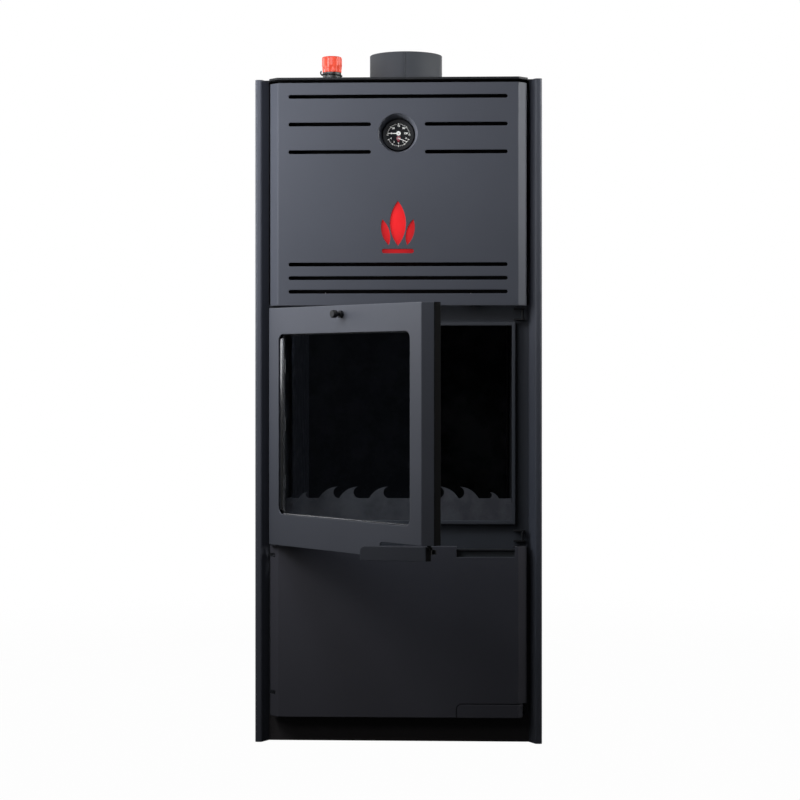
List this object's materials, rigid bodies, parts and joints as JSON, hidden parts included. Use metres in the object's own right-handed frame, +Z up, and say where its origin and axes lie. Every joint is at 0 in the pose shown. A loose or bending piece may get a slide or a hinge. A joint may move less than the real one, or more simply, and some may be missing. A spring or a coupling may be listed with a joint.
{
  "type": "boiler stove",
  "caption": "Free-standing wood-burning boiler stove with a glazed fire door, an ash door, an upright casing, a rear flue spigot and a safety valve on top.",
  "frame": {"origin": "centre of the footprint of the casing, on the floor", "axes": "+X to the right seen from the front, +Y to the back, +Z up; the doors face -Y"},
  "size_m": [0.54, 0.9654, 1.353],
  "materials": {
    "casing_paint": "satin fine-texture powder coat, anthracite",
    "boiler_plate": "matt dark heat-resistant paint",
    "firebox_steel": "dark hot-rolled steel, slightly sooty",
    "bare_steel": "plain turned or cut steel",
    "zinc_screw": "blackened pan-head screws",
    "cast_iron": "as cast",
    "ash_pan_steel": "folded sheet",
    "glass": "clear ceramic glass",
    "lens": "clear window of the gauge",
    "rope": "dark glass-fibre rope",
    "accent_red": "red enamel",
    "dial_black": "black dial with white marks, without wording",
    "gauge_black": "black plastic",
    "pointer_white": "white enamelled aluminium",
    "cap_red": "red plastic cap",
    "brass": "turned brass"
  },
  "bodies": {
    "stove_body": {"left_side_panel": "casing_paint", "right_side_panel": "casing_paint", "back_cover": "casing_paint", "top_cover": "casing_paint", "upper_front_panel": "casing_paint", "gauge_bezel": "casing_paint", "plinth": "boiler_plate", "base_plate": "boiler_plate", "front_plate": "boiler_plate", "fire_opening_lip": "boiler_plate", "ash_opening_lip": "boiler_plate", "outer_wall_left": "boiler_plate", "outer_wall_right": "boiler_plate", "outer_wall_rear": "boiler_plate", "boiler_top_plate": "boiler_plate", "flue_spigot": "boiler_plate", "hinge_brackets": "boiler_plate", "air_duct": "boiler_plate", "inner_wall_left": "firebox_steel", "inner_wall_right": "firebox_steel", "inner_wall_rear": "firebox_steel", "crown_plate": "firebox_steel", "water_tube_1": "firebox_steel", "water_tube_2": "firebox_steel", "water_tube_3": "firebox_steel", "baffle_plate": "firebox_steel", "hearth_plate": "firebox_steel", "guard_posts": "firebox_steel", "stay_bolts": "firebox_steel", "pan_runners": "firebox_steel", "latch_keepers": "bare_steel", "hinge_pins": "bare_steel", "pipe_sockets": "bare_steel", "valve_riser": "bare_steel", "casing_screws": "zinc_screw", "gauge_lens": "lens", "ornament_backing_plate": "accent_red", "gauge_dial": "dial_black", "gauge_case": "gauge_black", "valve_body": "brass"},
    "fire_door": {"fire_door_skin": "casing_paint", "fire_door_frame": "boiler_plate", "fire_door_glass": "glass", "glass_clips": "bare_steel", "fire_door_seal": "rope"},
    "fire_latch": {"fire_latch_shaft": "bare_steel", "fire_door_handle": "casing_paint"},
    "air_valve": {"air_knob": "boiler_plate"},
    "ash_door": {"ash_door_skin": "casing_paint", "ash_door_frame": "boiler_plate", "ash_door_seal": "rope"},
    "ash_latch": {"ash_latch_shaft": "bare_steel", "ash_door_handle": "casing_paint"},
    "ash_pan": {"ash_pan": "ash_pan_steel"},
    "grate": {"grate": "cast_iron"},
    "log_guard": {"log_guard": "cast_iron"},
    "valve_cap": {"valve_cap": "cap_red"},
    "temperature_pointer": {"temperature_pointer": "pointer_white"},
    "pressure_pointer": {"pressure_pointer": "pointer_white"},
    "air_flap": {"air_flap": "boiler_plate"}
  },
  "joints": [
    {"name": "fire_door_swing", "type": "hinge", "parent": "stove_body", "child": "fire_door", "pos_m": [-0.231, -0.292, 0.6], "axis": [0, 0, -1], "range_deg": [-49, 56]},
    {"name": "fire_latch_turn", "type": "hinge", "parent": "fire_door", "child": "fire_latch", "pos_m": [0.06701, -0.64245, 0.6], "axis": [0, 0, 1], "range_deg": [-39, 6]},
    {"name": "air_valve_pull", "type": "slide", "parent": "fire_door", "child": "air_valve", "axis": [-0.7547, -0.6561, 0], "range_m": [0, 0.005]},
    {"name": "ash_door_swing", "type": "hinge", "parent": "stove_body", "child": "ash_door", "pos_m": [-0.231, -0.292, 0.21], "axis": [0, 0, -1], "range_deg": [0, 105]},
    {"name": "ash_latch_turn", "type": "hinge", "parent": "ash_door", "child": "ash_latch", "pos_m": [0.229, -0.297, 0.21], "axis": [0, 0, 1], "range_deg": [0, 45]},
    {"name": "ash_pan_pull", "type": "slide", "parent": "stove_body", "child": "ash_pan", "axis": [0, -1, 0], "range_m": [0, 0.151]},
    {"name": "grate_lift", "type": "slide", "parent": "stove_body", "child": "grate", "axis": [0, 0, 1], "range_m": [0, 0.06]},
    {"name": "log_guard_lift", "type": "slide", "parent": "stove_body", "child": "log_guard", "axis": [0, 0, 1], "range_m": [0, 0.06]},
    {"name": "valve_cap_turn", "type": "hinge", "parent": "stove_body", "child": "valve_cap", "pos_m": [-0.145, -0.02, 1.318], "axis": [0, 0, 1], "continuous": true},
    {"name": "temperature_pointer_turn", "type": "hinge", "parent": "stove_body", "child": "temperature_pointer", "pos_m": [0, -0.282, 1.148], "axis": [0, 1, 0], "range_deg": [0, 180]},
    {"name": "pressure_pointer_turn", "type": "hinge", "parent": "stove_body", "child": "pressure_pointer", "pos_m": [0, -0.282, 1.1388], "axis": [0, 1, 0], "range_deg": [0, 120]},
    {"name": "air_flap_swing", "type": "hinge", "parent": "stove_body", "child": "air_flap", "pos_m": [0, 0.305, 0.174], "axis": [1, 0, 0], "range_deg": [0, 75]}
  ],
  "couplings": [
    {"joint": "ash_pan_pull", "follows": "ash_door_swing", "m_per_rad": 0.081851}
  ]
}
